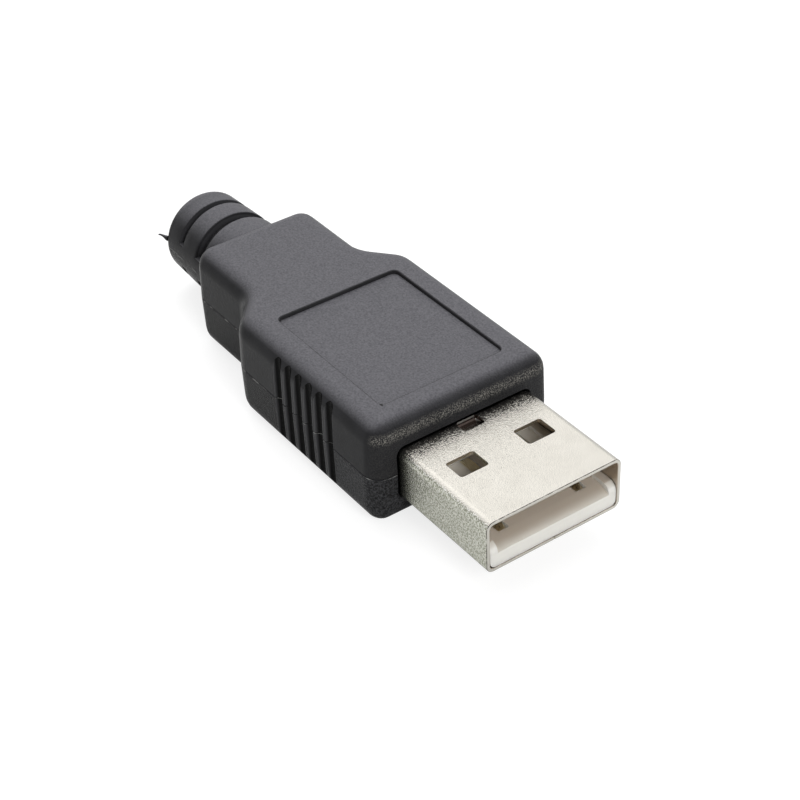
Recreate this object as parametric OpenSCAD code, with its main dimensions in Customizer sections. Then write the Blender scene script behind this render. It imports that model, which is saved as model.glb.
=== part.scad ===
// USB-A cable plug for self assembly: a folded steel plug shell on a white
// insulator with four soldered contacts, closed in a two-piece snap cover.
//
// Frame: +X points out of the plug's mouth, Y runs across it and +Z is up.
// The origin lies on the resting face, under the middle of the length.
// All sizes are in millimetres and all angles in degrees.

/* [Steel plug shell] */
// Width of the shell over its outside
shell_w = 12; // [10:0.1:14]
// Height of the shell over its outside
shell_h = 4.5; // [4:0.05:5.5]
// Thickness of the steel sheet
sheet_t = 0.3; // [0.2:0.05:0.4]
// Outer bend radius of the shell's four long corners
shell_r = 0.64; // [0.5:0.02:0.9]
// Length of shell that shows in front of the cover
nose_l = 10.3; // [9.6:0.05:13]
// Length of shell held inside the cover
held_l = 8.5; // [7:0.1:9.5]
// Gap of the folded seam under the shell
seam_gap = 0.08; // [0.04:0.02:0.2]

/* [Shell windows] */
// Size of each window along the shell
window_l = 1.95; // [1.5:0.05:2.5]
// Size of each window across the shell
window_w = 2.5; // [2:0.05:3]
// Corner radius of the windows
window_r = 0.25; // [0.1:0.05:0.5]
// From the mouth to the near edge of the windows
window_from_mouth = 5.1; // [4:0.05:6]
// Distance between the middles of the two windows
window_pitch = 6.06; // [5:0.02:7]

/* [Shell tabs] */
// Width of the hole over the locking tab that is pressed into the insulator
lock_w = 1.9; // [1.2:0.1:2.4]
// Length of the hole over the locking tab
lock_l = 1.2; // [0.8:0.05:1.4]
// Corner radius of that hole
lock_r = 0.25; // [0.1:0.05:0.4]
// Slit on each side of the locking tab
lock_slit = 0.1; // [0.05:0.01:0.2]
// How far the rear end of the locking tab is pressed down
lock_drop = 0.5; // [0.35:0.05:0.8]
// Gap between the cover's front face and the locking hole
lock_gap = 0.02; // [0.02:0.01:0.3]
// How far each rear ear stands out of the shell's side
ear_out = 0.5; // [0.3:0.05:0.6]
// Height of each rear ear
ear_h = 2.4; // [1.6:0.1:3]

/* [White insulator] */
// How far the insulator sits back from the mouth
mouth_setback = 0.05; // [0.02:0.01:0.5]
// Thickness of the insulator's tongue at the rails along its two sides
tongue_t = 1.95; // [1.85:0.05:2.1]
// Radius of the rails' round front ends
rail_nose_r = 0.75; // [0.3:0.05:0.9]
// Width of the tongue between the rails
tongue_mid_w = 10; // [9:0.1:10.6]
// How far the tongue lies lower between the rails
tongue_mid_drop = 0.3; // [0.1:0.05:0.4]
// From the mouth to the full-height block behind the tongue
block_from_mouth = 9.2; // [8.6:0.1:9.4]
// Corner radius of the insulator's section
insulator_r = 0.5; // [0.4:0.05:0.8]
// Length of the lead-in ramp between the rails
ramp_l = 1.1; // [0.4:0.05:1.2]
// How far the ramp falls over that length
ramp_drop = 0.46; // [0.2:0.02:0.8]
// Length of the solder ledge behind the shell
ledge_l = 2; // [1:0.1:3]
// Gap between the insulator's sides and the steel
insulator_gap = 0.04; // [0.02:0.01:0.1]

/* [Brass contacts] */
// Width of each contact strip
contact_w = 0.85; // [0.7:0.05:1.2]
// Thickness of each contact strip
contact_t = 0.25; // [0.2:0.05:0.3]
// Distance of the two outer contacts from the middle
outer_contact_y = 3.5; // [3.2:0.05:4]
// Distance of the two inner contacts from the middle
inner_contact_y = 1; // [0.9:0.05:1.4]
// From the mouth to the tip of the outer contacts
outer_tip = 1.4; // [1.3:0.05:1.8]
// From the mouth to the tip of the inner contacts
inner_tip = 2.4; // [2:0.05:2.8]
// Depth of the contact faces below the tongue's face between the rails
contact_sunk = 0.08; // [0.02:0.02:0.2]
// Length over which a contact's nose bends down
nose_bend_l = 0.7; // [0.5:0.05:1]
// How far a contact's nose bends down
nose_bend_drop = 0.4; // [0.1:0.05:0.5]
// Width of the stiffening rib pressed into a contact's nose
nose_rib_w = 0.12; // [0.08:0.02:0.3]
// Height of that rib at the tip of the nose
nose_rib_h = 0.12; // [0.05:0.01:0.2]
// Gap on each side of a contact in its groove
contact_gap = 0.04; // [0.03:0.01:0.12]
// Outer radius of the solder cups
cup_r = 0.8; // [0.7:0.05:0.9]
// Length of the solder cups
cup_l = 2.4; // [1.5:0.1:3]

/* [Cover body] */
// Length of the wide body up to where its shoulders start
body_l = 17.45; // [16:0.05:22]
// Cover thickness beside the shell
side_wall = 2.15; // [1.9:0.05:3]
// Cover thickness under the shell
floor_t = 2.15; // [1.8:0.05:2.6]
// Cover thickness over the shell
over_shell = 2.3; // [2:0.05:3.2]
// Height of the parting line above the middle of the shell
parting_up = 0.1; // [0:0.05:0.8]
// Radius of the body's two front corners
corner_r = 1.45; // [1:0.05:2.4]
// Radius of the long top and bottom edges
edge_r = 1.6; // [1:0.05:1.8]
// Draft of the cover's sides
draft = 1.5; // [0.5:0.1:2]
// Small bevel on both sides of the parting line
parting_bevel = 0.07; // [0.03:0.01:0.15]
// Wall thickness round the wire space
wall = 1.5; // [1.3:0.05:1.8]
// Roof thickness over the wire space
roof_t = 1.4; // [1.2:0.05:1.8]

/* [Cover shoulders and neck] */
// Width of the neck
neck_w = 11.3; // [9.6:0.1:12]
// Length from the start of the shoulders to the end of the neck
neck_l = 12.05; // [11:0.05:15]
// Convex radius where a shoulder leaves the body
shoulder_out_r = 2.5; // [1.5:0.1:3]
// Concave radius where a shoulder meets the neck
shoulder_in_r = 2.6; // [1:0.1:4]
// Steepest angle of the shoulders
shoulder_angle = 40; // [35:1:65]
// Radius of the neck's two rear corners
neck_corner_r = 1.6; // [1:0.05:2.2]

/* [Label recess] */
// Length of the recess in the top
panel_l = 13.85; // [10:0.05:15]
// Width of the recess
panel_w = 11.05; // [8:0.05:12]
// From the cover's front face to the recess
panel_from_front = 2.6; // [2:0.05:4]
// Depth of the recess at its rear edge
panel_depth = 0.33; // [0.1:0.01:0.5]
// Depth of the recess at its front edge
panel_depth_front = 0.28; // [0.05:0.01:0.35]
// Corner radius of the recess
panel_r = 0.5; // [0.3:0.1:1.5]

/* [Grip flutes] */
// Number of flutes in each side
flute_count = 6; // [3:1:7]
// Distance between two flutes
flute_pitch = 1.38; // [1.2:0.02:1.6]
// Radius of a flute
flute_r = 0.56; // [0.45:0.01:0.6]
// Depth of a flute
flute_depth = 0.42; // [0.3:0.02:0.54]
// From the cover's front face to the middle of the first flute
flute_from_front = 5.8; // [4:0.05:7]

/* [Tail] */
// Length of the round tail behind the neck
tail_l = 8.1; // [7:0.05:12]
// Diameter of the tail where it leaves the neck
tail_root_d = 8.1; // [7.8:0.1:8.4]
// Diameter of the tail at its end
tail_end_d = 7.5; // [7:0.1:7.7]
// Rounding of the tail's end
tail_round = 0.65; // [0.3:0.05:0.8]
// Diameter of the cable hole
cable_d = 4.8; // [4:0.1:5]
// Width of the relief slot next to the neck
wide_slot_w = 1.0; // [0.8:0.05:1.5]
// Width of the relief slot next to the end
narrow_slot_w = 0.55; // [0.4:0.05:1]
// From the neck to the middle of the wide slot
wide_slot_from_neck = 2.4; // [2:0.05:3]
// From the neck to the middle of the narrow slot
narrow_slot_from_neck = 5.4; // [4.8:0.05:6]
// Depth of the relief slots
slot_depth = 0.75; // [0.4:0.05:0.8]
// Height of the solid web between a slot and the parting line
slot_web = 1.15; // [0.7:0.05:1.5]

/* [Cover fits] */
// Gap beside the shell in its seat
seat_gap = 0.06; // [0.03:0.01:0.15]
// Gap round the shell in the mouth of the cover
mouth_gap = 0.12; // [0.08:0.01:0.4]
// Depth of the mouth of the cover
mouth_depth = 0.9; // [0.5:0.05:1.4]
// Radius of the large snap pegs
peg_r = 0.8; // [0.6:0.05:1]
// Radius of the small snap pegs in the neck
neck_peg_r = 0.5; // [0.4:0.05:0.6]
// Length of the snap pegs
peg_l = 1.5; // [1:0.1:1.8]
// Gap round a snap peg in its socket
peg_gap = 0.04; // [0.02:0.01:0.1]
// Plastic left round a socket
boss_wall = 0.55; // [0.45:0.05:0.6]
// Number of cable ribs in the neck
cable_rib_count = 3; // [1:1:3]
// Distance between two cable ribs
cable_rib_pitch = 1.3; // [1.1:0.05:1.5]
// Thickness of a cable rib
cable_rib_t = 0.5; // [0.4:0.05:0.7]
// How far the cable ribs reach in past the cable hole
cable_rib_bite = 0.3; // [0.1:0.05:0.5]
// Thickness of the locating lip at the parting line
lip_t = 0.45; // [0.3:0.05:0.5]
// Height of the locating lip
lip_h = 0.6; // [0.4:0.05:0.8]
// Gap round the locating lip
lip_gap = 0.05; // [0.02:0.01:0.1]
// Number of ribs in the roof over the shell
roof_rib_count = 3; // [1:1:4]
// Thickness of a roof rib
roof_rib_t = 1; // [0.6:0.1:1.4]

/* [Hidden] */
$fn = 48;
// Overlap that lets one cut run cleanly into the next
cut = 0.01;
// Room for cuts that run out of the model
far = 60;
// Straight steps in a quarter of a rounded edge and in a corner seen from above
edge_steps = 7;
corner_steps = 7;

// Lengths, measured back from the mouth
cover_l = body_l + neck_l;
overall_l = nose_l + cover_l + tail_l;
mouth_x = overall_l / 2;
front_x = mouth_x - nose_l;
shoulder_x = front_x - body_l;
neck_end_x = front_x - cover_l;
tail_end_x = neck_end_x - tail_l;
shell_l = nose_l + held_l;
shell_end_x = mouth_x - shell_l;
block_x = mouth_x - block_from_mouth;
ledge_end_x = shell_end_x - ledge_l;

// Widths
body_w = shell_w + 2 * side_wall;
inner_w = shell_w - 2 * sheet_t;
insulator_w = inner_w - 2 * insulator_gap;

// Heights above the resting face
cover_h = floor_t + shell_h + over_shell;
shell_z = floor_t + shell_h / 2;
parting_z = shell_z + parting_up;
inner_bottom_z = floor_t + sheet_t;
inner_top_z = floor_t + shell_h - sheet_t;
tongue_z = inner_bottom_z + tongue_t;
tongue_mid_z = tongue_z - tongue_mid_drop;
contact_z = tongue_mid_z - contact_sunk;
groove_z = contact_z - contact_t;
ceiling_z = cover_h - roof_t;

// Shoulders: two arcs with a straight slope between them, or a shallower
// slope where the step in width is too small for both whole arcs
shoulder_step = (body_w - neck_w) / 2;
arcs_r = shoulder_out_r + shoulder_in_r;
slope = min(shoulder_angle, acos(max(0, 1 - shoulder_step / arcs_r)));
slope_run = (shoulder_step - arcs_r * (1 - cos(slope))) / sin(slope);
shoulder_l = arcs_r * sin(slope) + slope_run * cos(slope);

// Large pegs stand in the corners of the wire space, small ones in the neck
peg_x = shoulder_x + boss_wall + peg_r;
peg_y = body_w / 2 - wall - peg_r;
neck_peg_x = shoulder_x - shoulder_l - neck_peg_r - boss_wall;
neck_peg_y = neck_w / 2 - wall / 2 - neck_peg_r;
rib_x0 = neck_peg_x - neck_peg_r - boss_wall - cable_rib_t;

// ---------------------------------------------------------------- helpers

// Points along an arc, both ends included
function arc(cx, cy, r, from, to) =
    [for (i = [0:corner_steps]) let (a = from + (to - from) * i / corner_steps)
        [cx + r * cos(a), cy + r * sin(a)]];

// Radius of a corner that can be moved inwards by d without turning inside out
function roomy(r, d) = max(r, d + 0.1);

// Half of the cover's outline (y > 0), front to rear, moved inwards by d
function half_outline(d) = let (front_r = roomy(corner_r, d), rear_r = roomy(neck_corner_r, d)) concat(
    arc(front_x - front_r, body_w / 2 - front_r, front_r - d, 0, 90),
    arc(shoulder_x, body_w / 2 - shoulder_out_r, shoulder_out_r - d, 90, 90 + slope),
    arc(shoulder_x - shoulder_l, neck_w / 2 + shoulder_in_r,
        -(shoulder_in_r + d), 90 + slope, 90),
    arc(neck_end_x + rear_r, neck_w / 2 - rear_r, rear_r - d, 90, 180));

// Whole outline, counter-clockwise seen from above
function outline(d) = let (half = half_outline(d), n = len(half))
    concat(half, [for (i = [n - 1:-1:0]) [half[i][0], -half[i][1]]]);

// Levels of a cover half above the parting plane: [height, inset]. They run
// a little past both flat faces, which are then cut clean
function levels(h) = let (side_h = h + cut - edge_r, lean = tan(draft)) concat(
    [[-parting_bevel, 2 * parting_bevel], [parting_bevel, parting_bevel * lean]],
    [for (i = [0:edge_steps]) let (a = 90 * i / edge_steps)
        [side_h + edge_r * sin(a), side_h * lean + edge_r * (1 - cos(a))]]);

// Solid outside form of a cover half, from its parting face up to h
module half_form(h) intersection() {
    rings = levels(h);
    n = len(outline(0));
    points = [for (ring = rings) for (p = outline(ring[1])) [p[0], p[1], ring[0]]];
    sides = [for (k = [0:len(rings) - 2]) for (i = [0:n - 1]) let (j = (i + 1) % n)
        [k * n + i, (k + 1) * n + i, (k + 1) * n + j, k * n + j]];
    polyhedron(points, concat([[for (i = [0:n - 1]) i]], sides,
        [[for (i = [n - 1:-1:0]) (len(rings) - 1) * n + i]]));
    translate([-far, -far, 0]) cube([2 * far, 2 * far, h]);
}

// Rectangle with round corners, centred
module round_rect(w, h, r) {
    square([w - 2 * r, h], center = true);
    square([w, h - 2 * r], center = true);
    for (sx = [-1, 1], sy = [-1, 1])
        translate([sx * (w / 2 - r), sy * (h / 2 - r)]) circle(r);
}

// Bar along X with a round-cornered section, centred on y = 0 and z
module bar(x_rear, x_front, w, h, r, z) {
    translate([x_rear, 0, z]) rotate([90, 0, 90])
        linear_extrude(x_front - x_rear) round_rect(w, h, r);
}

// Box between two x, centred across, between two z
module block(x_rear, x_front, w, z_low, z_high) {
    translate([x_rear, -w / 2, z_low]) cube([x_front - x_rear, w, z_high - z_low]);
}

// A copy on each side
module both_sides() {
    children();
    mirror([0, 1, 0]) children();
}

// Keeps what lies above (up = 1) or below (up = -1) a level
module keep_side(up, z) {
    intersection() {
        children();
        translate([-far, -far, up > 0 ? z : z - 2 * far]) cube(2 * far);
    }
}

// ------------------------------------------------------------------ cover

// Tapered round tail with a rounded end
module tail_form() {
    root = tail_root_d / 2;
    end = tail_end_d / 2;
    profile = concat([[0, 0], [root, 0]],
        [for (i = [0:edge_steps]) let (a = 90 * i / edge_steps)
            [end - tail_round * (1 - cos(a)), tail_l - tail_round * (1 - sin(a))]],
        [[0, tail_l]]);
    translate([neck_end_x, 0, parting_z]) rotate([0, -90, 0])
        rotate_extrude() polygon(profile);
    // Root that runs into the neck's rear wall
    translate([neck_end_x - cut, 0, parting_z]) rotate([0, 90, 0])
        cylinder(r = root, h = wall);
}

// Ring slots that let the tail bend, stopped by a web at each side
module relief_slots() {
    for (slot = [[wide_slot_from_neck, wide_slot_w], [narrow_slot_from_neck, narrow_slot_w]])
        let (share = slot[0] / tail_l,
            floor_r = (tail_root_d * (1 - share) + tail_end_d * share) / 2 - slot_depth)
        translate([neck_end_x - slot[0] - slot[1] / 2, 0, parting_z]) rotate([0, 90, 0])
            difference() {
                cylinder(r = tail_root_d, h = slot[1]);
                translate([0, 0, -cut]) cylinder(r = floor_r, h = slot[1] + 2 * cut);
            }
}

// Upright flutes in both sides
module flutes() {
    both_sides() for (i = [0:flute_count - 1])
        translate([front_x - flute_from_front - i * flute_pitch,
                body_w / 2 + flute_r - flute_depth, -far / 2])
            cylinder(r = flute_r, h = far);
}

// Seat of the steel shell, with the wider mouth and the slots for its ears
module shell_seat() {
    bar(shell_end_x - cut, front_x + cut, shell_w + 2 * seat_gap, shell_h, shell_r, shell_z);
    bar(front_x - mouth_depth, front_x + cut, shell_w + 2 * mouth_gap,
        shell_h + 2 * mouth_gap, shell_r + mouth_gap, shell_z);
    block(shell_end_x - seat_gap, shell_end_x + sheet_t, shell_w + 2 * (ear_out + seat_gap),
        shell_z - ear_h / 2 - seat_gap, shell_z + ear_h / 2 + seat_gap);
}

// Space for the wires, from the shell's end to the neck's rear wall
module wire_space(z_low, z_high) {
    translate([0, 0, z_low]) linear_extrude(z_high - z_low) intersection() {
        polygon(outline(wall));
        translate([neck_end_x, -body_w / 2]) square([shell_end_x - neck_end_x, body_w]);
    }
}

// Hole for the cable through the neck's rear wall and the tail
module cable_hole() {
    translate([tail_end_x - cut, 0, parting_z]) rotate([0, 90, 0])
        cylinder(d = cable_d, h = tail_l + wall + 2 * cut);
}

// Round posts on both sides, at the large and the small pegs
module at_pegs() {
    both_sides() translate([peg_x, peg_y]) circle(peg_r + $grow);
    both_sides() translate([neck_peg_x, neck_peg_y]) circle(neck_peg_r + $grow);
}

// Posts from one level to another, grown by a margin
module posts(z_low, z_high, grow) {
    $grow = grow;
    translate([0, 0, z_low]) linear_extrude(z_high - z_low) at_pegs();
}

// Cross ribs in the neck that bite the cable
module cable_ribs(z_low, z_high) {
    difference() {
        for (i = [0:cable_rib_count - 1])
            block(rib_x0 - i * cable_rib_pitch, rib_x0 - i * cable_rib_pitch + cable_rib_t,
                neck_w - wall, z_low, z_high);
        translate([neck_end_x, 0, parting_z]) rotate([0, 90, 0])
            cylinder(r = cable_d / 2 - cable_rib_bite, h = neck_l);
    }
}

// Stops behind the shell's ears, standing on the wall of a cover half
module ear_stops(z_low, z_high) {
    stop_w = side_wall - wall / 2 + sheet_t;
    both_sides() translate([shell_end_x - seat_gap - wall / 2, body_w / 2 - wall / 2 - stop_w, z_low])
        cube([wall / 2, stop_w, z_high - z_low]);
}

// Lip along the inner side of the wall, between the ear stops and the large pegs
module lips(z_low, z_high, grow) {
    lip_front = shell_end_x - wall;
    lip_rear = peg_x + peg_r + boss_wall;
    both_sides() translate([lip_rear - grow, body_w / 2 - wall - grow, z_low])
        cube([lip_front - lip_rear + 2 * grow, lip_t + 2 * grow, z_high - z_low]);
}

// Recess in the top, a little deeper at the rear than at the front
module label_recess() {
    fall = atan((panel_depth - panel_depth_front) / panel_l);
    translate([front_x - panel_from_front, 0, cover_h - panel_depth_front]) rotate([0, -fall, 0])
        translate([-panel_l / 2, 0, 0]) linear_extrude(far) round_rect(panel_l, panel_w, panel_r);
}

// Hollows between the ribs of the roof over the shell
module roof_hollows() {
    pitch = shell_w / (roof_rib_count + 1);
    for (i = [0:roof_rib_count])
        translate([shell_end_x - cut, -shell_w / 2 + i * pitch + roof_rib_t / 2,
                floor_t + shell_h - cut])
            cube([held_l - mouth_depth - wall, pitch - roof_rib_t,
                over_shell - roof_t + cut]);
}

module upper_cover() {
    color([0.17, 0.17, 0.18]) {
        difference() {
            union() {
                translate([0, 0, parting_z]) half_form(cover_h - parting_z);
                keep_side(1, parting_z) tail_form();
            }
            wire_space(parting_z - cut, ceiling_z);
            shell_seat();
            roof_hollows();
            cable_hole();
            flutes();
            label_recess();
            keep_side(1, parting_z + slot_web) relief_slots();
        }
        // Bosses, ribs and stops hang from the roof, the pegs reach below the parting
        posts(parting_z, ceiling_z + cut, boss_wall);
        posts(parting_z - peg_l, parting_z + cut, 0);
        keep_side(1, parting_z) cable_ribs(parting_z, ceiling_z + cut);
        ear_stops(parting_z, ceiling_z + cut);
        lips(parting_z - lip_h, parting_z + lip_h, 0);
    }
}

module lower_cover() {
    color([0.15, 0.15, 0.16]) difference() {
        union() {
            difference() {
                union() {
                    translate([0, 0, parting_z]) mirror([0, 0, 1]) half_form(parting_z);
                    keep_side(-1, parting_z) tail_form();
                }
                wire_space(floor_t, parting_z + cut);
                shell_seat();
                cable_hole();
                flutes();
                keep_side(-1, parting_z - slot_web) relief_slots();
            }
            posts(floor_t - cut, parting_z, boss_wall);
            keep_side(-1, parting_z) cable_ribs(floor_t - cut, parting_z);
            ear_stops(floor_t - cut, parting_z);
        }
        // Sockets for the pegs and a rebate for the lips
        posts(parting_z - peg_l - peg_gap, parting_z + cut, peg_gap);
        lips(parting_z - lip_h - lip_gap, parting_z + cut, lip_gap);
    }
}

// ------------------------------------------------------------- plug shell

// Window through both faces of the shell, at a distance from the middle
module window(y) {
    translate([mouth_x - window_from_mouth - window_l / 2, y, floor_t - cut])
        linear_extrude(shell_h + 2 * cut) round_rect(window_l, window_w, window_r);
}

module plug_shell() {
    lock_rear_x = front_x + lock_gap;
    lock_front_x = lock_rear_x + lock_l;
    top_z = floor_t + shell_h;
    tab_w = lock_w - 2 * lock_slit;
    color([0.82, 0.81, 0.78]) {
        difference() {
            bar(shell_end_x, mouth_x, shell_w, shell_h, shell_r, shell_z);
            bar(shell_end_x - cut, mouth_x + cut, inner_w, shell_h - 2 * sheet_t,
                shell_r - sheet_t, shell_z);
            for (side = [-1, 1]) window(side * window_pitch / 2);
            translate([lock_rear_x + lock_l / 2, 0, inner_top_z - cut])
                linear_extrude(sheet_t + 2 * cut) round_rect(lock_l, lock_w, lock_r);
            block(shell_end_x - cut, mouth_x + cut, seam_gap, floor_t - cut, inner_bottom_z + cut);
        }
        // Locking tab, hinged at the front of its hole and pressed down at the rear
        tab_side = [[lock_front_x + cut, inner_top_z], [lock_front_x + cut, top_z], [lock_front_x, top_z],
            [lock_rear_x, top_z - lock_drop], [lock_rear_x, inner_top_z - lock_drop],
            [lock_front_x, inner_top_z]];
        translate([0, tab_w / 2, 0]) rotate([90, 0, 0]) linear_extrude(tab_w) polygon(tab_side);
        // Ears, bent out of the rear end of both sides
        both_sides() translate([shell_end_x, inner_w / 2, shell_z - ear_h / 2])
            cube([sheet_t, sheet_t + ear_out, ear_h]);
    }
}

// -------------------------------------------------------------- insulator

// Groove for one contact: its channel, and a deeper pit for the bent nose
module contact_groove(tip, y) {
    slot_w = contact_w + 2 * contact_gap;
    tip_x = mouth_x - tip;
    translate([0, y, 0]) {
        block(ledge_end_x - cut, tip_x + contact_gap, slot_w, groove_z, contact_z + contact_gap);
        block(block_x, tip_x + contact_gap, slot_w, groove_z, tongue_z + cut);
        block(tip_x - nose_bend_l, tip_x + contact_gap, slot_w,
            groove_z - nose_bend_drop - contact_gap, tongue_z + cut);
        // Wider bed for the solder cup
        translate([ledge_end_x - cut, 0, cup_z()]) rotate([0, 90, 0])
            cylinder(r = cup_r + contact_gap, h = ledge_l / 2 + cut);
    }
}

module insulator() {
    h = inner_top_z - inner_bottom_z;
    tongue_front_x = mouth_x - mouth_setback;
    lock_x = front_x + lock_gap;
    color([0.93, 0.92, 0.89]) difference() {
        bar(ledge_end_x, tongue_front_x, insulator_w, h, insulator_r, shell_z);
        // Open space over the rails, lower between them, and over the solder ledge
        block(block_x, mouth_x, shell_w, tongue_z, inner_top_z + cut);
        block(block_x, mouth_x, tongue_mid_w, tongue_mid_z, tongue_z + cut);
        block(ledge_end_x - cut, shell_end_x, shell_w, contact_z, inner_top_z + cut);
        // Round front ends of the rails
        translate([tongue_front_x - rail_nose_r, shell_w / 2, tongue_z - rail_nose_r])
            rotate([90, 0, 0]) linear_extrude(shell_w) difference() {
                square(rail_nose_r + cut);
                circle(rail_nose_r);
            }
        // Lead-in ramp between the rails, cut a little past both its ends
        translate([tongue_front_x, tongue_mid_w / 2, tongue_mid_z]) rotate([90, 0, 0])
            linear_extrude(tongue_mid_w) polygon([[-2 * ramp_l, ramp_drop], [ramp_l, ramp_drop],
                [ramp_l, -2 * ramp_drop]]);
        for (side = [-1, 1]) {
            contact_groove(outer_tip, side * outer_contact_y);
            contact_groove(inner_tip, side * inner_contact_y);
        }
        // Pocket for the shell's locking tab
        block(lock_x - contact_gap, lock_x + lock_l, lock_w + 2 * contact_gap,
            inner_top_z - lock_drop - contact_gap, inner_top_z + cut);
    }
}

// --------------------------------------------------------------- contacts

// Height of a solder cup's axis: its floor is level with the strip's face
function cup_z() = groove_z + cup_r;

// One strip with a ribbed, bent nose in front and a solder cup behind
module contact(tip, y) {
    tip_x = mouth_x - tip;
    cup_x = ledge_end_x + ledge_l / 2;
    bend_x = tip_x - nose_bend_l;
    side_view = [[cup_x - cut, groove_z], [bend_x, groove_z], [tip_x, groove_z - nose_bend_drop],
        [tip_x, contact_z - nose_bend_drop], [bend_x, contact_z], [cup_x - cut, contact_z]];
    rib_view = [[bend_x, contact_z - contact_t / 2], [tip_x, contact_z - nose_bend_drop - contact_t / 2],
        [tip_x, contact_z - nose_bend_drop + nose_rib_h], [bend_x, contact_z]];
    color([0.80, 0.62, 0.30]) translate([0, y, 0]) {
        translate([0, contact_w / 2, 0]) rotate([90, 0, 0])
            linear_extrude(contact_w) polygon(side_view);
        translate([0, nose_rib_w / 2, 0]) rotate([90, 0, 0])
            linear_extrude(nose_rib_w) polygon(rib_view);
        translate([cup_x - cup_l, 0, cup_z()]) rotate([0, 90, 0]) difference() {
            cylinder(r = cup_r, h = cup_l);
            translate([0, 0, -cut]) cylinder(r = cup_r - contact_t, h = cup_l + 2 * cut);
            translate([-2 * cup_r, -cup_r, -cut]) cube([2 * cup_r, 2 * cup_r, cup_l + 2 * cut]);
        }
    }
}

module contact_vbus() contact(outer_tip, -outer_contact_y);
module contact_data_minus() contact(inner_tip, -inner_contact_y);
module contact_data_plus() contact(inner_tip, inner_contact_y);
module contact_ground() contact(outer_tip, outer_contact_y);

upper_cover();
lower_cover();
plug_shell();
insulator();
contact_vbus();
contact_data_minus();
contact_data_plus();
contact_ground();
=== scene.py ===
import math

import bmesh
import bpy
from mathutils import Matrix, Quaternion, Vector


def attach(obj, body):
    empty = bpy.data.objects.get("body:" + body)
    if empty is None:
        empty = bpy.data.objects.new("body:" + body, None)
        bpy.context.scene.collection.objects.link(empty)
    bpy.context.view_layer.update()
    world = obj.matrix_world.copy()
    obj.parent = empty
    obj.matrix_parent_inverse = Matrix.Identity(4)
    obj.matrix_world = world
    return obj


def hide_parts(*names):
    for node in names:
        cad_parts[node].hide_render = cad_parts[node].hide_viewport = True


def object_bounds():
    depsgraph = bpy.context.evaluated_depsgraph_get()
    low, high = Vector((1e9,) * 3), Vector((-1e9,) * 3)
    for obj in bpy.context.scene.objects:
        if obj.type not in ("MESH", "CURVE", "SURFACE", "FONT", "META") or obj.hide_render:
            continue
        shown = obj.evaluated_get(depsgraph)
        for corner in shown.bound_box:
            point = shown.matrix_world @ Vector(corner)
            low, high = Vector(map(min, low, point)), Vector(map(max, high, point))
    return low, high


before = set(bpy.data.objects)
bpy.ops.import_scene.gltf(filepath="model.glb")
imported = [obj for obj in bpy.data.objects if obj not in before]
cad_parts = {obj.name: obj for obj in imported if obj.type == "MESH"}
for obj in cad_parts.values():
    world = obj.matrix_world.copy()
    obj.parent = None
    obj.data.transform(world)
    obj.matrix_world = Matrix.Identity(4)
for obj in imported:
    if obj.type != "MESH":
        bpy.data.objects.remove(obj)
MM = 0.001
whole_low, whole_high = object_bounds()

# ------------------------------------------------------------------ Cover halves
# Two black injection moulded halves that snap together round the plug and its
# cable. The mould's upper faces are spark eroded to a fine satin grain. Its
# sides and its rounded edges are smoother and shine more.

cover_front = 13.65 * MM
tail_front, tail_rear = -15.9 * MM, whole_low.x
parting_height = 4.5 * MM
tail_axis = Vector((0, parting_height))
slots_rear, slots_front = tail_rear + 1.2 * MM, tail_front - 1.0 * MM
slot_edge_radius = 3.3 * MM
soft_edge = 0.06 * MM


def add_node(tree, kind, values=(), **settings):
    """One shader node, with the values of its input sockets by name."""
    node = tree.nodes.new("ShaderNode" + kind)
    for key, value in settings.items():
        setattr(node, key, value)
    for socket, value in dict(values).items():
        node.inputs[socket].default_value = value
    return node


def new_material(name, values):
    """A material with a Principled shader. Returns it, its nodes and the shader."""
    material = bpy.data.materials.new(name)
    material.use_nodes = True
    tree = material.node_tree
    shader = tree.nodes["Principled BSDF"]
    for socket, value in values.items():
        shader.inputs[socket].default_value = value
    return material, tree, shader


def part_of(tree, kind, axis):
    """One axis of the surface's place, with kind Object, or of its Normal."""
    place = add_node(tree, "TexCoord")
    split = add_node(tree, "SeparateXYZ")
    tree.links.new(place.outputs[kind], split.inputs["Vector"])
    return split.outputs[axis]


def grain(tree, size, detail=3.0, stretch=(1, 1, 1)):
    """Noise with grains of about this size in metres, even over the whole piece."""
    place = add_node(tree, "TexCoord")
    turn = add_node(tree, "Mapping", {"Scale": stretch})
    noise = add_node(
        tree, "TexNoise", {"Scale": 1 / size, "Detail": detail, "Roughness": 0.55}
    )
    tree.links.new(place.outputs["Object"], turn.inputs["Vector"])
    tree.links.new(turn.outputs["Vector"], noise.inputs["Vector"])
    return noise.outputs["Fac"]


def remap(tree, value, low, high, new_low=0.0, new_high=1.0, ease="LINEAR"):
    """The value's range from low to high, stretched to a new range and held there."""
    ranged = add_node(
        tree,
        "MapRange",
        {"From Min": low, "From Max": high, "To Min": new_low, "To Max": new_high},
        interpolation_type=ease,
    )
    tree.links.new(value, ranged.inputs["Value"])
    return ranged.outputs["Result"]


def calculate(tree, operation, first, second=None):
    """One operation on two values, on a value and a number, or on one value."""
    node = add_node(tree, "Math", operation=operation)
    tree.links.new(first, node.inputs[0])
    if isinstance(second, (int, float)):
        node.inputs[1].default_value = second
    elif second is not None:
        tree.links.new(second, node.inputs[1])
    return node.outputs["Value"]


def all_of(tree, share, *others):
    """Several shares multiplied, which is one only where each of them is one."""
    for other in others:
        share = calculate(tree, "MULTIPLY", share, other)
    return share


def near(tree, value, middle, reach):
    """One where the value is within reach of the middle, and nothing elsewhere."""
    node = add_node(tree, "Math", operation="COMPARE")
    tree.links.new(value, node.inputs[0])
    node.inputs[1].default_value = middle
    node.inputs[2].default_value = reach
    return node.outputs["Value"]


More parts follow.
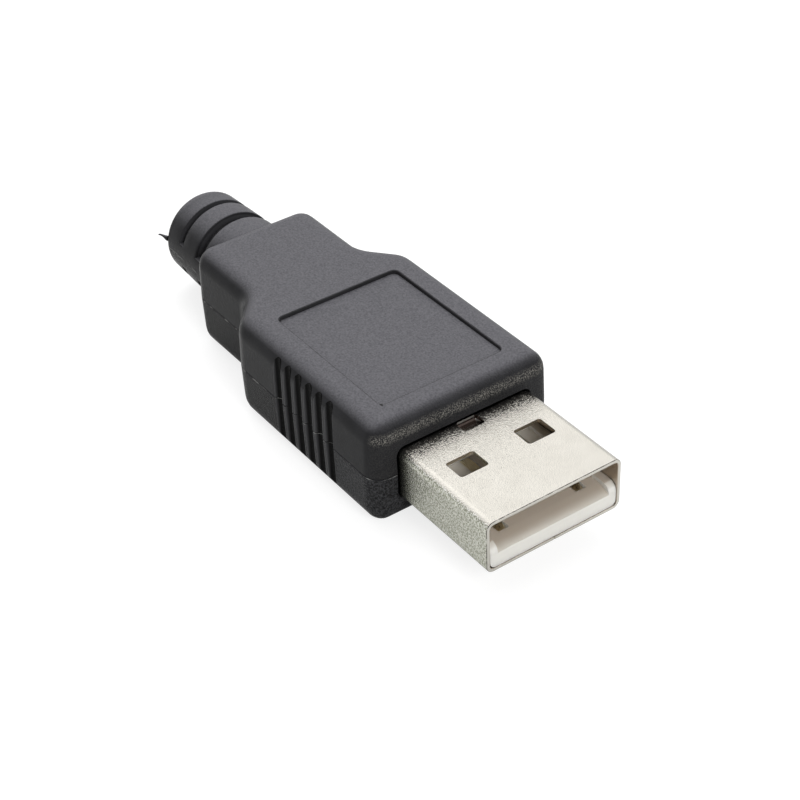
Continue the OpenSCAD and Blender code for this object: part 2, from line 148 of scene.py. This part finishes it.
def on_vector(tree, operation, vector, *terms):
    """One operation on a vector, with fixed vectors as its further terms."""
    node = add_node(tree, "VectorMath", operation=operation)
    tree.links.new(vector, node.inputs[0])
    for number, term in enumerate(terms, 1):
        node.inputs[number].default_value = term
    return node.outputs["Value" if operation == "LENGTH" else "Vector"]


def placed(tree, scale, shift):
    """The surface's place, scaled and then shifted along each axis."""
    place = add_node(tree, "TexCoord")
    return on_vector(tree, "MULTIPLY_ADD", place.outputs["Object"], scale, shift)


def blend_colours(tree, share, first, second):
    """A colour that goes from the first to the second as the share rises."""
    mix = add_node(tree, "Mix", data_type="RGBA")
    for socket, colour in (("A", first), ("B", second)):
        if isinstance(colour, tuple):
            mix.inputs[socket].default_value = (*colour, 1)
        else:
            tree.links.new(colour, mix.inputs[socket])
    tree.links.new(share, mix.inputs["Factor"])
    return mix.outputs["Result"]


def lay_over(tree, colour, *layers):
    """A colour with others laid over it in turn, each where its share says."""
    for share, layer in layers:
        colour = blend_colours(tree, share, colour, layer)
    return colour


def bump(tree, height, depth, strength=1.0, under=None):
    """A bump of this depth in metres, over another one if given."""
    node = add_node(tree, "Bump", {"Distance": depth})
    if isinstance(strength, (int, float)):
        node.inputs["Strength"].default_value = strength
    else:
        tree.links.new(strength, node.inputs["Strength"])
    tree.links.new(height, node.inputs["Height"])
    if under is not None:
        tree.links.new(under, node.inputs["Normal"])
    return node.outputs["Normal"]


def smooth_copy(name, node, edge, rounded=()):
    """A copy of a CAD node, welded and shaded smooth, with its sharp edges broken.

    Each item of rounded has a test of an edge's middle, and the wider rounding
    that the outer edges which pass it get.
    """
    weld, level, sharp = 0.002 * MM, math.radians(0.4), math.radians(30)
    piece = bpy.data.objects.new(name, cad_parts[node].data.copy())
    bpy.context.scene.collection.objects.link(piece)
    work = bmesh.new()
    work.from_mesh(piece.data)
    bmesh.ops.remove_doubles(work, verts=work.verts, dist=weld)
    bmesh.ops.dissolve_limit(
        work, angle_limit=level, verts=work.verts, edges=work.edges
    )
    for chosen, width in rounded:
        outer = []
        for side in work.edges:
            joins_two = len(side.link_faces) == 2
            corner = side.calc_face_angle_signed(0) if joins_two else 0
            if corner > sharp and chosen((side.verts[0].co + side.verts[1].co) / 2):
                outer.append(side)
        bmesh.ops.bevel(
            work,
            geom=outer,
            offset=width,
            offset_type="OFFSET",
            affect="EDGES",
            segments=3,
            profile=0.5,
            material=-1,
            clamp_overlap=False,
        )
    for face in work.faces:
        face.smooth = True
    for side in work.edges:
        side.smooth = len(side.link_faces) != 2 or side.calc_face_angle(0) < sharp
    work.to_mesh(piece.data)
    work.free()
    broken = piece.modifiers.new("broken edges", "BEVEL")
    broken.width = edge
    broken.segments = 2
    broken.limit_method = "ANGLE"
    broken.angle_limit = sharp
    broken.miter_outer = "MITER_ARC"
    weighted = piece.modifiers.new("flat faces", "WEIGHTED_NORMAL")
    weighted.keep_sharp = True
    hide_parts(node)
    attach(piece, "root")
    return piece


def dress(piece, material):
    """Gives a piece one material."""
    piece.data.materials.clear()
    piece.data.materials.append(material)


def on_slots(place):
    """Whether a place is on the outer edges of the tail's slots."""
    off_axis = (place.yz - tail_axis).length
    return slots_rear < place.x < slots_front and off_axis > slot_edge_radius


def on_recess(place, play=0.02 * MM):
    """Whether a place is on the upper edge of the label recess."""
    return place.z > whole_high.z - play


cover_material, tree, shader = new_material(
    "moulded black plastic", {"Specular IOR Level": 0.07, "IOR": 1.5}
)
along, height = part_of(tree, "Object", "X"), part_of(tree, "Object", "Z")
aside = calculate(tree, "ABSOLUTE", part_of(tree, "Object", "Y"))
rise = part_of(tree, "Normal", "Z")

# The upper faces have the spark eroded grain, and are painted lighter as the sheen
# they catch, less so where they turn to the front.
spark_size, spark_depth = 0.15 * MM, 0.14 * MM
sheen_grain_dark, sheen_grain_light = (0.083, 0.082, 0.091), (0.134, 0.132, 0.144)
facing_up, facing_ahead, front_reach = (0.56, 0.98), (0.25, 0.70), 1.7 * MM
grain_range, front_share = (0.30, 0.70), 0.35
spark_grain = grain(tree, spark_size, 2.0)
faces_ahead = all_of(
    tree,
    remap(tree, part_of(tree, "Normal", "X"), *facing_ahead, ease="SMOOTHSTEP"),
    near(tree, along, cover_front, front_reach),
)
faces_up = all_of(
    tree,
    remap(tree, rise, *facing_up, ease="SMOOTHSTEP"),
    remap(tree, faces_ahead, 0.0, 1.0, 1.0, front_share),
)
grain_with_sheen = blend_colours(
    tree, remap(tree, spark_grain, *grain_range), sheen_grain_dark, sheen_grain_light
)

# The sides are smoother. Below the parting line they are painted darker as shade,
# most at the rear, and lighter in grainy specks towards the front.
smooth_dark, smooth_light = (0.015, 0.015, 0.016), (0.038, 0.038, 0.041)
lower_shade_dark, lower_shade_light = (0.004, 0.004, 0.005), (0.060, 0.061, 0.066)
cloud_size, parting_blend = 2.2 * MM, 0.1 * MM
lower_rear, lower_front, lower_sparks = -2 * MM, 12 * MM, (0.40, 0.62)
below_parting = remap(tree, height, parting_height, parting_height - parting_blend)
lower_front_specks = all_of(
    tree,
    remap(tree, along, lower_rear, lower_front),
    remap(tree, spark_grain, *lower_sparks, 0.1, 1.0),
)
sides = lay_over(
    tree,
    blend_colours(tree, grain(tree, cloud_size), smooth_dark, smooth_light),
    (below_parting, blend_colours(tree, lower_front_specks, lower_shade_dark, lower_shade_light)),
)

# The finger grip on each side: upright flutes whose hollows are painted near black
# as shade, and ridges between them painted lighter as highlights.
flute_count, flute_pitch, flute_radius = 6, 1.38 * MM, 0.56 * MM
flute_axis, first_flute = 8.29 * MM, cover_front - 5.8 * MM
hollow_wall, ridge_end = 0.025 * MM, 0.70 * MM
hollow_top, hollow_full = flute_axis - 0.20 * MM, flute_axis - 0.40 * MM
hollow_shade_colour, ridge_highlight_colour = (0.001, 0.001, 0.001), (0.11, 0.11, 0.115)
ridge_facing, ridge_strength = (0.03, 0.25), 0.9
half_grip = (flute_count - 1) / 2 * flute_pitch
from_flutes = add_node(tree, "CombineXYZ")
from_first = calculate(tree, "SUBTRACT", along, first_flute)
tree.links.new(
    calculate(tree, "PINGPONG", from_first, flute_pitch / 2), from_flutes.inputs["X"]
)
tree.links.new(calculate(tree, "SUBTRACT", aside, flute_axis), from_flutes.inputs["Y"])
from_axis = on_vector(tree, "LENGTH", from_flutes.outputs["Vector"])
on_grip = near(tree, along, first_flute - half_grip, half_grip + flute_radius)
ridge_highlight = all_of(
    tree,
    on_grip,
    remap(tree, rise, *ridge_facing, 1.0, 0.0),
    remap(tree, from_axis, flute_radius, ridge_end, ridge_strength, 0.0),
)
hollow_shade = all_of(
    tree,
    on_grip,
    near(tree, from_axis, flute_radius, hollow_wall),
    remap(tree, aside, hollow_top, hollow_full, 0.1, 1.0),
)

# The front rounding is coarser, and painted glints in a band along it stand for the
# light its crystals catch.
crystal_size, crystal_range = 0.085 * MM, (0.45, 0.64)
front_glint_colour, front_face_share = (0.22, 0.21, 0.19), 0.10
rounding_foot, rounding_head = (0.05, 0.25), (0.38, 0.62)
front_glints = all_of(
    tree,
    faces_ahead,
    remap(tree, rise, *rounding_foot, front_face_share, 1.0),
    remap(tree, rise, *rounding_head, 1.0, 0.0),
    remap(tree, grain(tree, crystal_size, 1.0), *crystal_range),
)

# Painted shade: the inside of the slots that let the tail bend, and the upward
# floors at their ends, are an even dark grey.
slot_shade_colour = (0.050, 0.050, 0.054)
skin_inside, skin_outside = 3.65 * MM, 3.80 * MM
slotted_reach = 3.2 * MM
wide_slot, wide_slot_reach = tail_rear + 5.7 * MM, 0.53 * MM
narrow_slot, narrow_slot_reach = tail_rear + 2.7 * MM, 0.31 * MM
from_tail_axis = placed(tree, (0, 1, 1), (0, 0, -parting_height))
tail_radius = on_vector(tree, "LENGTH", from_tail_axis)
slot_walls = all_of(
    tree,
    remap(tree, tail_radius, skin_outside, skin_inside),
    near(tree, along, (tail_front + tail_rear) / 2, slotted_reach),
)
at_slot = calculate(
    tree,
    "MAXIMUM",
    near(tree, along, wide_slot, wide_slot_reach),
    near(tree, along, narrow_slot, narrow_slot_reach),
)
slot_shade = calculate(tree, "MAXIMUM", slot_walls, all_of(tree, faces_up, at_slot))

# The halves meet in a fine dark gap, with a broken painted glint along the moulding
# flash under it.
gap_reach, gap_colour = 0.033 * MM, (0.002, 0.002, 0.002)
flash_drop, flash_reach, flash_patch = 0.058 * MM, 0.025 * MM, 0.7 * MM
flash_glint_colour, flash_range, flash_strength = (0.34, 0.34, 0.33), (0.44, 0.62), 0.8
parting_gap = near(tree, height, parting_height, gap_reach)
flash_glint = all_of(
    tree,
    remap(tree, grain(tree, flash_patch), *flash_range, 0.0, flash_strength),
    near(tree, height, parting_height - flash_drop, flash_reach),
)

# Painted shade darkens a broken line at the foot of the label recess's edge, and
# the face has one small blemish.
recess_length, recess_width, recess_corner = 13.85 * MM, 11.05 * MM, 0.5 * MM
recess_middle = cover_front - 2.6 * MM - recess_length / 2
edge_foot, edge_reach, edge_patch = 0.05 * MM, 0.06 * MM, 1.2 * MM
edge_range, edge_strength = (0.35, 0.65), (0.45, 0.95)
blemish_along, blemish_aside, blemish_squash = 11.02 * MM, -5.50 * MM, 2
blemish_core, blemish_rim = 0.12 * MM, 0.26 * MM
shade_and_blemish_colour = (0.02, 0.02, 0.02)
past_corner = on_vector(
    tree,
    "SUBTRACT",
    on_vector(tree, "ABSOLUTE", placed(tree, (1, 1, 0), (-recess_middle, 0, 0))),
    (recess_length / 2 - recess_corner, recess_width / 2 - recess_corner, 0),
)
outside_core = on_vector(tree, "MAXIMUM", past_corner, (0, 0, 0))
from_core = on_vector(tree, "LENGTH", outside_core)
recess_edge_shade = all_of(
    tree,
    near(tree, from_core, recess_corner + edge_foot, edge_reach),
    remap(tree, grain(tree, edge_patch), *edge_range, *edge_strength),
)
from_blemish = placed(
    tree,
    (1, blemish_squash, 0),
    (-blemish_along, -blemish_squash * blemish_aside, 0),
)
blemish = remap(
    tree, on_vector(tree, "LENGTH", from_blemish), blemish_core, blemish_rim, 1.0, 0.0
)
shade_and_blemish = all_of(tree, calculate(tree, "MAXIMUM", recess_edge_shade, blemish), faces_up)

cover_colour = lay_over(
    tree,
    sides,
    (ridge_highlight, ridge_highlight_colour),
    (hollow_shade, hollow_shade_colour),
    (faces_up, grain_with_sheen),
    (front_glints, front_glint_colour),
    (slot_shade, slot_shade_colour),
    (parting_gap, gap_colour),
    (shade_and_blemish, shade_and_blemish_colour),
    (flash_glint, flash_glint_colour),
)

# The grained faces are dull and the sides glossy. The grain is deepest in front,
# and a little deeper in the lower half.
cover_roughness, upper_relief, lower_relief = (0.17, 0.46), (0.22, 1.0), (0.0, 0.25)
rough_share = calculate(tree, "MAXIMUM", faces_up, faces_ahead)
relief = calculate(
    tree,
    "ADD",
    remap(tree, faces_ahead, 0.0, 1.0, *upper_relief),
    remap(tree, below_parting, 0.0, 1.0, *lower_relief),
)
tree.links.new(cover_colour, shader.inputs["Base Color"])
tree.links.new(
    remap(tree, rough_share, 0.0, 1.0, *cover_roughness), shader.inputs["Roughness"]
)
tree.links.new(bump(tree, spark_grain, spark_depth, relief), shader.inputs["Normal"])

slot_rounding, recess_rounding = 0.14 * MM, 0.12 * MM
for half in ("upper_cover", "lower_cover"):
    cover = smooth_copy(
        "moulded_" + half,
        half,
        soft_edge,
        [(on_slots, slot_rounding), (on_recess, recess_rounding)],
    )
    dress(cover, cover_material)

# --------------------------------------------------------------- Whisker of flash
# A curl of the same black plastic that the mould left at the rear rim of the
# tail, where the halves meet. It tapers from its root to a fine tip.

whisker_path = (
    ((-23.70, -3.42, 4.96), 0.36),
    ((-23.96, -3.59, 5.05), 0.20),
    ((-24.22, -3.73, 5.17), 0.11),
    ((-24.48, -3.84, 5.20), 0.085),
    ((-24.74, -3.91, 5.12), 0.08),
)
flash = bmesh.new()
root = bmesh.ops.create_circle(flash, cap_ends=True, segments=8, radius=1.0)
ring = root["verts"]
bmesh.ops.rotate(
    flash, verts=ring, cent=(0, 0, 0), matrix=Matrix.Rotation(math.pi / 2, 3, "Y")
)
edges = [side for side in flash.edges if side.is_boundary]
position, radius = Vector((0, 0, 0)), 1.0
for number, (point, thickness) in enumerate(whisker_path):
    if number:
        grown = bmesh.ops.extrude_edge_only(flash, edges=edges)["geom"]
        ring = [item for item in grown if isinstance(item, bmesh.types.BMVert)]
        edges = [item for item in grown if isinstance(item, bmesh.types.BMEdge)]
    target = Vector(point) * MM
    bmesh.ops.translate(flash, verts=ring, vec=-position)
    bmesh.ops.scale(flash, verts=ring, vec=[thickness * MM / radius] * 3)
    bmesh.ops.translate(flash, verts=ring, vec=target)
    position, radius = target, thickness * MM
bmesh.ops.contextual_create(flash, geom=edges)
bmesh.ops.recalc_face_normals(flash, faces=flash.faces)
whisker_mesh = bpy.data.meshes.new("flash_whisker")
flash.to_mesh(whisker_mesh)
flash.free()
whisker = bpy.data.objects.new("flash_whisker", whisker_mesh)
bpy.context.scene.collection.objects.link(whisker)
whisker_round = whisker.modifiers.new("round", "SUBSURF")
whisker_round.levels = whisker_round.render_levels = 2
dress(whisker, cover_material)
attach(whisker, "root")

# ------------------------------------------------------------------- Plug shell
# Thin steel strip, punched, folded into a box and nickel plated. Its top keeps
# the satin of the rolled strip, and its sides are rougher and duller.

shell_axis = 4.4 * MM
opening_middle = Vector((14.22, 0.0, 6.1)) * MM
opening_reach = Vector((0.72, 0.93, 0.50)) * MM


def in_opening(tree):
    """One in the opening round the locking tab, and nothing elsewhere."""
    shares = [
        near(tree, part_of(tree, "Object", axis), middle, reach)
        for axis, middle, reach in zip("XYZ", opening_middle, opening_reach)
    ]
    return all_of(tree, *shares)


def on_mouth(place, play=0.01 * MM):
    """Whether a place is on the rim of the mouth."""
    return place.x > whole_high.x - play


steel_material, tree, shader = new_material("nickel plated steel", {"Metallic": 1.0})
along, height = part_of(tree, "Object", "X"), part_of(tree, "Object", "Z")
ahead = part_of(tree, "Normal", "X")

# The sheet: satin on top, coarse on the sides, with a broken painted highlight on
# the folds, where the top is halfway turned into the side.
strip_size, coarse_size, swirl_size = 0.09 * MM, 0.14 * MM, 1.6 * MM
strip_depth, swirl_depth, swirl_strength = 0.035 * MM, 0.02 * MM, 0.4
top_dark, top_light = (0.63, 0.605, 0.55), (0.66, 0.635, 0.58)
side_dark, side_light = (0.41, 0.42, 0.33), (0.88, 0.88, 0.80)
top_range, side_range, facing_aside = (0.35, 0.65), (0.40, 0.60), (0.55, 0.85)
fold_highlight_colour, fold_range, fold_strength = (0.95, 0.94, 0.90), (0.45, 0.60), 1.6
strip_grain = grain(tree, strip_size, 1.5)
coarse_grain = grain(tree, coarse_size, 2.0)
swirl = grain(tree, swirl_size)
sideways = calculate(tree, "ABSOLUTE", part_of(tree, "Normal", "Y"))
side_share = remap(tree, sideways, *facing_aside, ease="SMOOTHSTEP")
top_colour = blend_colours(tree, remap(tree, swirl, *top_range), top_dark, top_light)
side_colour = blend_colours(
    tree, remap(tree, coarse_grain, *side_range), side_dark, side_light
)
fold_highlight = all_of(
    tree,
    calculate(tree, "PINGPONG", side_share, 0.5),
    remap(tree, coarse_grain, *fold_range, 0.0, fold_strength),
)

# The inner face of the sheet is warmer. How far a face looks out from the axis
# tells the two faces apart.
inside_colour, sheet_half = (0.56, 0.49, 0.41), 0.3 * MM
place = add_node(tree, "TexCoord")
outlook = add_node(tree, "VectorMath", operation="DOT_PRODUCT")
tree.links.new(placed(tree, (0, 1, 1), (0, 0, -shell_axis)), outlook.inputs[0])
tree.links.new(place.outputs["Normal"], outlook.inputs[1])
outwards = outlook.outputs["Value"]
inside = remap(tree, outwards, sheet_half, -sheet_half)

# The rim of the mouth is cut bare, and a broken painted dark reflection lies on the
# rounding of its outer edge.
rim_reach, rim_line_patch = 0.10 * MM, 0.35 * MM
rim_line_start, rim_line_full = 0.6 * MM, 0.8 * MM
cut_colour, rim_reflection_colour = (0.76, 0.74, 0.68), (0.10, 0.09, 0.075)
facing_cut, rim_line_facing, rim_line_turn = (0.90, 0.97), 0.52, 0.36
rim_line_range, rim_line_strength = (0.38, 0.55), (0.15, 0.95)
on_rim = near(tree, along, whole_high.x, rim_reach)
cut_face = remap(tree, ahead, *facing_cut)
rim_dark_reflection = all_of(
    tree,
    near(tree, ahead, rim_line_facing, rim_line_turn),
    remap(tree, outwards, rim_line_start, rim_line_full),
    remap(tree, grain(tree, rim_line_patch, 2.0), *rim_line_range, *rim_line_strength),
    on_rim,
)

# A painted reflection of the dark cover, broken into specks, darkens the sheet where
# it goes into the cover. Painted shade, over the bare steel of the pressed tab,
# darkens the opening of the locking tab, and the bare cut edge at its rear is
# painted brighter as a highlight.
cover_reflection_reach, cover_reflection_colour = 2.0 * MM, (0.06, 0.055, 0.05)
cover_reflection_start, speck_range, speck_strength = 0.95, (0.38, 0.62), 0.36
cover_reflection_range, cover_reflection_strength = (0.38, 0.80), 0.8
opening_shade_colour, tab_cut_highlight_colour = (0.16, 0.13, 0.11), (0.98, 0.97, 0.93)
tab_edge_along, tab_edge_height = 13.67 * MM, 6.60 * MM
tab_edge_depth, tab_edge_reach = 0.03 * MM, 0.12 * MM
cover_reflection = calculate(
    tree,
    "ADD",
    remap(tree, along, cover_front, cover_front + cover_reflection_reach, cover_reflection_start, 0.0),
    remap(tree, coarse_grain, *speck_range, -speck_strength, speck_strength),
)
tab_cut_highlight = all_of(
    tree,
    near(tree, height, tab_edge_height, tab_edge_reach),
    cut_face,
    near(tree, along, tab_edge_along, tab_edge_depth),
)
on_cover_reflection = remap(tree, cover_reflection, *cover_reflection_range, 0.0, cover_reflection_strength)

# The satin top mirrors sharply, the sides less so, and the tab's edge is dull.
top_roughness, side_roughness, tab_edge_roughness = 0.07, 0.22, 0.6
steel_colour = lay_over(
    tree,
    top_colour,
    (side_share, side_colour),
    (fold_highlight, fold_highlight_colour),
    (inside, inside_colour),
    (all_of(tree, cut_face, on_rim), cut_colour),
    (rim_dark_reflection, rim_reflection_colour),
    (on_cover_reflection, cover_reflection_colour),
    (in_opening(tree), opening_shade_colour),
    (tab_cut_highlight, tab_cut_highlight_colour),
)
steel_roughness = calculate(
    tree,
    "MAXIMUM",
    remap(tree, side_share, 0.0, 1.0, top_roughness, side_roughness),
    calculate(tree, "MULTIPLY", tab_cut_highlight, tab_edge_roughness),
)
swirl_bump = bump(tree, swirl, swirl_depth, swirl_strength)
tree.links.new(steel_colour, shader.inputs["Base Color"])
tree.links.new(steel_roughness, shader.inputs["Roughness"])
tree.links.new(
    bump(tree, strip_grain, strip_depth, 1.0, swirl_bump), shader.inputs["Normal"]
)
shell_edge, mouth_rounding = 0.05 * MM, 0.07 * MM
shell = smooth_copy(
    "folded_plug_shell", "plug_shell", shell_edge, [(on_mouth, mouth_rounding)]
)
dress(shell, steel_material)

# --------------------------------------------------------------------- Insulator
# White nylon, moulded with the tongue that carries the contacts and pushed into
# the shell from behind. Its ramp and the top behind it are painted darker and
# yellower as shade inside the shell, and painted shade darkens it in the opening
# of the locking tab.

white_dark, white_light = (0.84, 0.82, 0.765), (0.88, 0.865, 0.815)
ramp_shade_colour, tongue_shade_colour = (0.74, 0.70, 0.63), (0.58, 0.51, 0.43)
shade_colour = (0.19, 0.145, 0.13)
facing_ramp, facing_top = (0.50, 0.85), (0.94, 0.985)
fade_rear, fade_front = whole_high.x - 4.2 * MM, whole_high.x - 3.2 * MM
nylon_cloud, nylon_grain, nylon_depth = 1.5 * MM, 0.3 * MM, 0.008 * MM
nylon_edge = 0.04 * MM
white_material, tree, shader = new_material(
    "white nylon",
    {
        "Roughness": 0.38,
        "Subsurface Weight": 0.6,
        "Subsurface Radius": (1, 1, 1),
        "Subsurface Scale": 0.7 * MM,
    },
)
rise = part_of(tree, "Normal", "Z")
shaded_tongue_top = all_of(
    tree,
    remap(tree, rise, *facing_top),
    remap(tree, part_of(tree, "Object", "X"), fade_rear, fade_front),
)
nylon_colour = lay_over(
    tree,
    blend_colours(tree, grain(tree, nylon_cloud), white_dark, white_light),
    (remap(tree, rise, *facing_ramp), ramp_shade_colour),
    (shaded_tongue_top, tongue_shade_colour),
    (in_opening(tree), shade_colour),
)
tree.links.new(nylon_colour, shader.inputs["Base Color"])
tree.links.new(
    bump(tree, grain(tree, nylon_grain), nylon_depth), shader.inputs["Normal"]
)
insulator = smooth_copy("nylon_insulator", "insulator", nylon_edge)
dress(insulator, white_material)

# ---------------------------------------------------------------------- Contacts
# Four strips stamped from brass sheet, bent down at the tip and rolled into a
# solder cup at the rear.

brass_dark, brass_light = (0.74, 0.64, 0.44), (0.98, 0.90, 0.68)
drawn_size, drawn_stretch, drawn_depth = 0.2 * MM, (0.1, 1, 1), 0.004 * MM
drawn_range, brass_roughness, strip_edge = (0.3, 0.7), (0.24, 0.36), 0.02 * MM
brass_material, tree, shader = new_material("stamped brass", {"Metallic": 1.0})
drawn_grain = grain(tree, drawn_size, stretch=drawn_stretch)
tree.links.new(
    blend_colours(tree, drawn_grain, brass_dark, brass_light),
    shader.inputs["Base Color"],
)
tree.links.new(
    remap(tree, drawn_grain, *drawn_range, *brass_roughness),
    shader.inputs["Roughness"],
)
tree.links.new(bump(tree, drawn_grain, drawn_depth), shader.inputs["Normal"])
for signal in ("vbus", "data_minus", "data_plus", "ground"):
    strip = smooth_copy("brass_contact_" + signal, "contact_" + signal, strip_edge)
    dress(strip, brass_material)

# ------------------------------------------------------------------------- Floor
# A plain matt white table top, one flat sheet that the plug lies on. It shows
# white and keeps a faint shadow, and it mirrors in the steel as pale paper.

floor_size, floor_mirrored, white_level = 1.2, 0.25, 0.79
floor_colour, paper_colour = (0.52, 0.52, 0.51, 1), (0.30, 0.30, 0.30, 1)


def ray_kinds(tree):
    """Shares of the rays that see a thing, and of those that mirror or pass it."""
    path = add_node(tree, "LightPath")
    mirrored = calculate(
        tree, "ADD", path.outputs["Is Glossy Ray"], path.outputs["Is Transmission Ray"]
    )
    return path.outputs["Is Camera Ray"], mirrored


sheet = bmesh.new()
bmesh.ops.create_grid(sheet, x_segments=1, y_segments=1, size=floor_size / 2)
floor_mesh = bpy.data.meshes.new("table_top")
sheet.to_mesh(floor_mesh)
sheet.free()
floor = bpy.data.objects.new("table_top", floor_mesh)
bpy.context.scene.collection.objects.link(floor)
floor_material = bpy.data.materials.new("white table top")
floor_material.use_nodes = True
tree = floor_material.node_tree
tree.nodes.clear()
output = add_node(tree, "OutputMaterial")
lit = add_node(tree, "BsdfDiffuse", {"Color": floor_colour})
white = add_node(tree, "Emission", {"Color": (1, 1, 1, 1), "Strength": white_level})
paper = add_node(tree, "BsdfDiffuse", {"Color": paper_colour})
shown = add_node(tree, "AddShader")
mix = add_node(tree, "MixShader")
seen, mirrored = ray_kinds(tree)
white_share = calculate(
    tree, "MAXIMUM", seen, calculate(tree, "MULTIPLY", mirrored, floor_mirrored)
)
tree.links.new(white.outputs["Emission"], shown.inputs[0])
tree.links.new(paper.outputs["BSDF"], shown.inputs[1])
tree.links.new(white_share, mix.inputs["Fac"])
tree.links.new(lit.outputs["BSDF"], mix.inputs[1])
tree.links.new(shown.outputs["Shader"], mix.inputs[2])
tree.links.new(mix.outputs["Shader"], output.inputs["Surface"])
floor_mesh.materials.append(floor_material)

# ------------------------------------------------------------------------ Lights
# A bright soft wall behind the plug that fades into a dim room, a big lamp
# overhead, a small one low in front and one that fills the mouth. The backdrop
# round the table is white.

bright_from = Vector((-0.75, 0.12, 0.65)).normalized()
room_level, wall_level, wall_fade = 0.12, 1.50, 2.0
backdrop_full, backdrop_end = 0.02, 0.16
world = bpy.data.worlds.new("studio")
world.use_nodes = True
bpy.context.scene.world = world
tree = world.node_tree
tree.nodes.clear()
output = add_node(tree, "OutputWorld")
place = add_node(tree, "TexCoord")
towards = add_node(tree, "VectorMath", operation="DOT_PRODUCT")
towards.inputs[1].default_value = bright_from
tree.links.new(place.outputs["Generated"], towards.inputs[0])
wall_side = calculate(tree, "MAXIMUM", towards.outputs["Value"], 0.0)
wall = calculate(tree, "POWER", wall_side, wall_fade)
wall = calculate(tree, "MULTIPLY", wall, wall_level)
room = calculate(tree, "ADD", wall, room_level)
upwards = part_of(tree, "Generated", "Z")
low_band = remap(tree, upwards, backdrop_full, backdrop_end, 1.0, 0.0, "SMOOTHSTEP")
seen, mirrored = ray_kinds(tree)
backdrop = calculate(tree, "MAXIMUM", seen, all_of(tree, mirrored, low_band))
light = add_node(tree, "Background", {"Color": (1, 1, 1, 1)})
tree.links.new(calculate(tree, "MAXIMUM", room, backdrop), light.inputs["Strength"])
tree.links.new(light.outputs["Background"], output.inputs["Surface"])


def soft_lamp(name, towards, distance, size, power, mirrored):
    """A square soft box that shines on the plug from a direction."""
    data = bpy.data.lights.new(name, "AREA")
    data.size = size
    data.energy = power
    lamp = bpy.data.objects.new(name, data)
    lamp.visible_glossy = mirrored
    away = Vector(towards).normalized()
    lamp.location = plug_middle + away * distance
    lamp.rotation_mode = "QUATERNION"
    lamp.rotation_quaternion = away.to_track_quat("Z", "Y")
    bpy.context.scene.collection.objects.link(lamp)


plug_middle = (whole_low + whole_high) / 2
soft_lamp(
    "ceiling_box",
    towards=(-0.40, 0.35, 1.0),
    distance=0.35,
    size=0.28,
    power=0.55,
    mirrored=False,
)
soft_lamp(
    "front_box",
    towards=(0.85, 0.45, 0.27),
    distance=0.30,
    size=0.15,
    power=0.11,
    mirrored=True,
)
soft_lamp(
    "front_fill",
    towards=(1.0, -0.15, 0.75),
    distance=0.35,
    size=0.14,
    power=0.60,
    mirrored=False,
)

# ------------------------------------------------------------------------ Camera
# A long lens looks down at the mouth from the front and the side. Its aim is a
# place on the axis of the shell, well behind the mouth.

mouth_to_aim = 15 * MM
aim = Vector((whole_high.x - mouth_to_aim, 0, shell_axis))
azimuth = math.radians(55.959)
elevation = math.radians(37.102)
roll = math.radians(-2.484)
distance = 140.514 * MM
sidestep = Vector((-2.086 * MM, 0.923 * MM, 0))
data = bpy.data.cameras.new("camera")
data.sensor_width = 36
data.lens = 84.36
data.clip_start = 0.01
data.clip_end = 10
camera = bpy.data.objects.new("camera", data)
back = Vector(
    (
        math.sin(azimuth) * math.cos(elevation),
        -math.cos(azimuth) * math.cos(elevation),
        math.sin(elevation),
    )
)
level_view = (-back).to_track_quat("-Z", "Y")
camera.rotation_mode = "QUATERNION"
camera.rotation_quaternion = level_view @ Quaternion((0, 0, 1), roll)
camera.location = aim + back * distance + camera.rotation_quaternion @ sidestep
bpy.context.scene.collection.objects.link(camera)
bpy.context.scene.camera = camera
bpy.context.scene.view_settings.view_transform = "Standard"

# ---------------------------------------------------------------------- Update
# The view layer is brought up to date.

bpy.context.view_layer.update()
